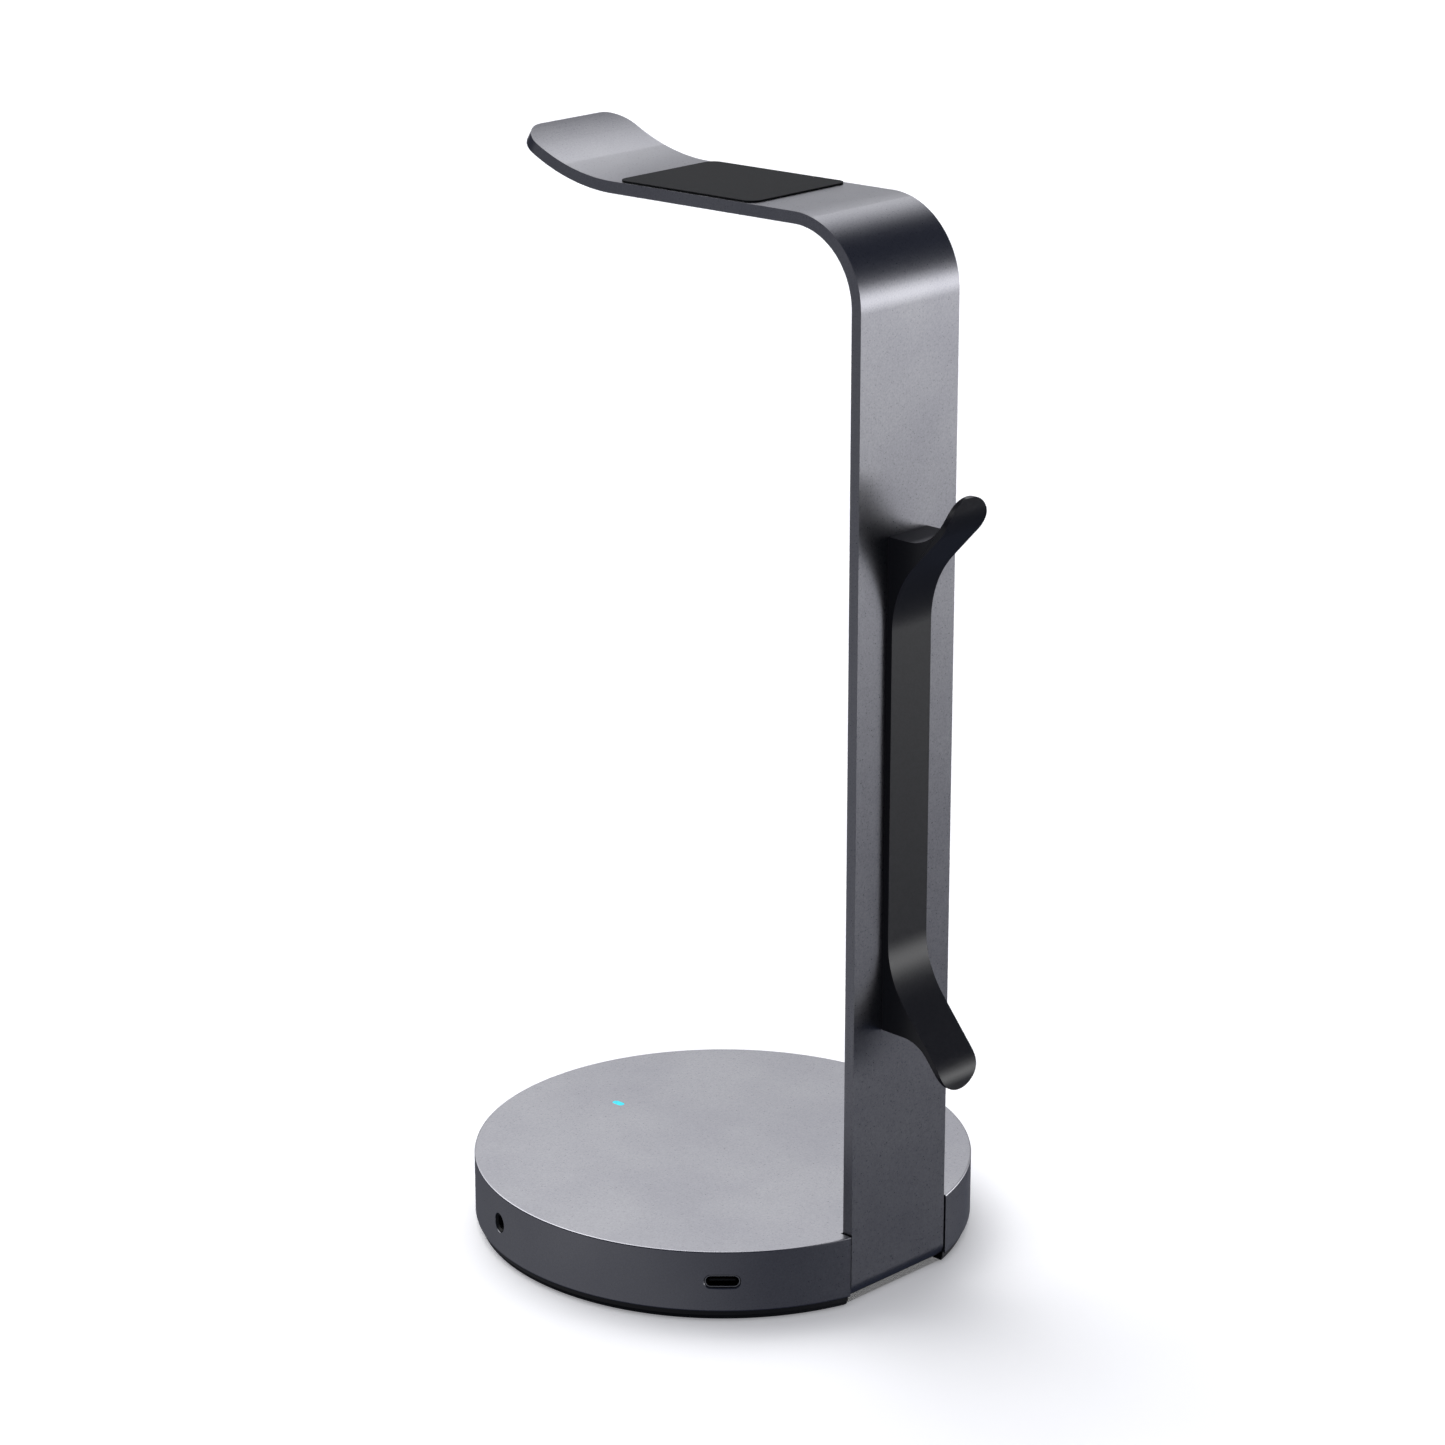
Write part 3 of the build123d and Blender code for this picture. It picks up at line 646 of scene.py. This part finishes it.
hand_over(pad, charcoal, "pad_silicone", "cradle_pad")

# ---- Foot ----
# A silicone sheet on the steel bottom plate, inset a little and with a rounded lower edge, cut
# back behind the strap so that the bend stays clear of the table.
foot_sheet = 1.2 * mm
foot_radius = 63.9 * mm
black_rubber = matt_silicone("matt_black_silicone", "111215", "1A1B1F", 0.7, 0.6 * mm)
foot = rod("silicone_foot", foot_radius, 0, foot_sheet, 256)
rubber_cut = block("foot_cut", (-notch_half, 57.3 * mm, -5 * mm), (notch_half, outside, 5 * mm))
combine(foot, rubber_cut, "DIFFERENCE")
pick(foot, "EDGE", lambda middle, edge: middle.z < 0.01 * mm)
bpy.ops.mesh.bevel(offset=0.9 * mm, segments=4, affect="EDGES")
leave()
smooth(foot)
hand_over(foot, black_rubber, "silicone_rubber", "rubber_foot")

# ---- Status light ----
# A pill of clear acrylic, lit from below by a cyan chip. It is glued into a slot, flush with the
# base's top, and its edge is rounded.


def lit_acrylic(name, code, strength):
    """Clear acrylic lit from behind: an even glow, faintly cloudy, that hides the tint below it."""
    finish, tree, place = new_finish(name)
    cloud = add_node(tree, "ShaderNodeTexNoise", {"Vector": place, "Scale": 1 / (1.2 * mm), "Detail": 1.0})
    glow = between(tree, cloud.outputs["Fac"], "00D8F0", code, 0.3, 0.7)
    look = {"Base Color": linear("004850"), "Roughness": 0.5, "IOR": 1.49}
    look.update({"Emission Color": glow, "Emission Strength": strength})
    coat(tree, add_node(tree, "ShaderNodeBsdfPrincipled", look))
    return finish


light = capsule("status_light_pipe", 3.8 * mm, 2.1 * mm, 8.7 * mm)
pick(light, "EDGE", lambda middle, edge: middle.x > -0.01 * mm)
bpy.ops.mesh.bevel(offset=0.12 * mm, segments=3, affect="EDGES")
leave()
light.rotation_euler = (0, -pi / 2, 0)
light.location = (*light_place, base_top + 0.02 * mm)
settle(light)
smooth(light)
glowing_acrylic = lit_acrylic("lit_clear_acrylic", "00F0FF", 0.9)
hand_over(light, glowing_acrylic, "light_pipe", "light_pipe")

# ---- Inside the base ----
# The board, its chips and screws, the weight and the plate keep the frame's own shapes. Each
# gets the finish of its real material.


def solder_mask(name):
    """Green circuit board: lacquer over copper tracks, which show as slightly lighter lines."""
    finish, tree, place = new_finish(name)
    layout = {"Vector": place, "Scale": 1 / (4 * mm), "Mortar Size": 0.03}
    tracks = add_node(tree, "ShaderNodeTexBrick", layout, offset=0.37)
    tracks.inputs["Color1"].default_value = linear("0E3B26")
    tracks.inputs["Color2"].default_value = linear("10412A")
    tracks.inputs["Mortar"].default_value = linear("1F5A3A")
    look = {"Base Color": tracks.outputs["Color"], "Roughness": 0.3, "IOR": 1.52}
    coat(tree, add_node(tree, "ShaderNodeBsdfPrincipled", look))
    return finish


inside = {
    "coated_steel": moulded_plastic("black_electrocoat_on_steel", "101114", "17181B", 0.4, 0.5 * mm),
    "adhesive_film": moulded_plastic("acrylic_adhesive_film", "B4B4B0", "C4C4C0", 0.5, 0.8 * mm),
    "screw_steel": black_zinc,
    "ballast_steel": drawn_metal("plain_sawn_steel", "6A6A6C", "868688", 0.45, 0.8 * mm),
    "circuit_board": solder_mask("green_solder_mask"),
    "insulation_film": moulded_plastic("black_polyester_film", "0E0E10", "141416", 0.25, 1.0 * mm),
    "stainless_steel": steel,
    "black_plastic": black_nylon,
    "gold_contacts": drawn_metal("gold_plated_bronze", "C79A3E", "E0B85A", 0.25, 0.3 * mm),
    "led_package": moulded_plastic("white_lamp_package", "D8D8D2", "E6E6E0", 0.4, 0.3 * mm),
    "chip_epoxy": moulded_plastic("moulded_black_epoxy", "151517", "202022", 0.6, 0.25 * mm),
    "ceramic": moulded_plastic("fired_capacitor_ceramic", "8A6B48", "9B7A54", 0.5, 0.25 * mm),
    "can_aluminium": drawn_metal("bright_aluminium_can", "B8B8BC", "D0D0D4", 0.25, 0.4 * mm),
    "ferrite": moulded_plastic("sintered_ferrite", "3A3A3D", "48484B", 0.6, 0.25 * mm),
    "brass_inserts": drawn_metal("knurled_brass", "B08B42", "C9A458", 0.3, 0.3 * mm),
    "anodised_aluminium": anodised,
    "hook_black": satin_black,
    "pad_silicone": charcoal,
    "silicone_rubber": black_rubber,
    "light_pipe": glowing_acrylic,
}
for part in frame["record"]["subparts"]:
    cad_node = frame["nodes"][part["node"]]
    cad_node.data.materials.clear()
    cad_node.data.materials.append(inside[part["material_slot"]])

# ---- Floor and light ----
# A pale, slightly glowing table that takes only a soft shadow. The room has a low white wall beyond
# the strap, a high panel over the far side and a weak light from above, and is dark elsewhere.
bpy.ops.object.select_all(action="DESELECT")
bpy.ops.mesh.primitive_plane_add(size=30, location=(0, 0, 0))
floor = bpy.context.active_object
floor.name = "floor"
paper, tree, place = new_finish("pale_glowing_table")
fibre = add_node(tree, "ShaderNodeTexNoise", {"Vector": place, "Scale": 1 / (30 * mm)})
pale = between(tree, fibre.outputs["Fac"], "F6F6F8", "FAFAFC")
table = {"Base Color": pale, "Roughness": 0.95, "Specular IOR Level": 0.0}
table.update({"Emission Color": pale, "Emission Strength": 0.25})
coat(tree, add_node(tree, "ShaderNodeBsdfPrincipled", table))
floor.data.materials.append(paper)
floor.visible_glossy = False
floor.visible_diffuse = False
floor.visible_shadow = False

bpy.ops.object.light_add(type="SUN", location=(0, 0, 1))
overhead = bpy.context.active_object
overhead.name = "overhead_soft_light"
overhead.data.energy = 1.0
overhead.data.angle = radians(70)
overhead.visible_glossy = False

# Each panel of light has its middle's compass direction and height, half its width and half its
# height, all in degrees, and its brightness. It fades out smoothly towards its edges.
panels = {
    "high panel over the far side": (-105, 47, 84, 40, 4.1),
    "low white wall beyond the strap": (165, -4, 97, 16, 4.4),
    "near edge of the table": (-20, -21, 150, 20, 0.36),
}
bluish_dark = (0.032, 0.038, 0.062, 1.0)
world = bpy.data.worlds.new("studio")
bpy.context.scene.world = world
world.use_nodes = True
tree = world.node_tree
tree.nodes.clear()
way = add_node(tree, "ShaderNodeTexCoord").outputs["Generated"]
parts = add_node(tree, "ShaderNodeSeparateXYZ", {"Vector": way}).outputs
compass = add_node(tree, "ShaderNodeMath", {0: parts["Y"], 1: parts["X"]}, operation="ARCTAN2").outputs[0]
rise = add_node(tree, "ShaderNodeMath", {0: parts["Z"]}, operation="ARCSINE").outputs[0]
total = 0.0
for direction, height, half_width, half_height, brightness in panels.values():
    turned = add_node(tree, "ShaderNodeMath", {0: compass, 1: radians(direction)}, operation="SUBTRACT")
    turned = add_node(tree, "ShaderNodeMath", {0: turned.outputs[0], 1: pi, 2: -pi}, operation="WRAP")
    lifted = add_node(tree, "ShaderNodeMath", {0: rise, 1: radians(height)}, operation="SUBTRACT")
    share = brightness
    for away, reach in ((turned, half_width), (lifted, half_height)):
        away = add_node(tree, "ShaderNodeMath", {0: away.outputs[0]}, operation="ABSOLUTE")
        span = {"Value": away.outputs[0], "From Max": radians(reach), "To Min": 1.0, "To Max": 0.0}
        fade = add_node(tree, "ShaderNodeMapRange", span, interpolation_type="SMOOTHSTEP")
        share = add_node(tree, "ShaderNodeMath", {0: fade.outputs[0], 1: share}, operation="MULTIPLY")
        share = share.outputs[0]
    total = add_node(tree, "ShaderNodeMath", {0: share, 1: total}, operation="ADD").outputs[0]
lit = add_node(tree, "ShaderNodeBackground", {"Color": (1.0, 1.0, 1.0, 1.0), "Strength": total})
dim = add_node(tree, "ShaderNodeBackground", {"Color": bluish_dark, "Strength": 1.0})
both = add_node(tree, "ShaderNodeAddShader", {0: lit.outputs[0], 1: dim.outputs[0]})
seen = add_node(tree, "ShaderNodeLightPath").outputs["Is Camera Ray"]
backdrop = add_node(tree, "ShaderNodeBackground", {"Color": linear("FFFFFF"), "Strength": 1.0})
view = add_node(tree, "ShaderNodeMixShader", {0: seen, 1: both.outputs[0], 2: backdrop.outputs[0]})
add_node(tree, "ShaderNodeOutputWorld", {"Surface": view.outputs[0]})
bpy.context.scene.view_settings.view_transform = "Standard"
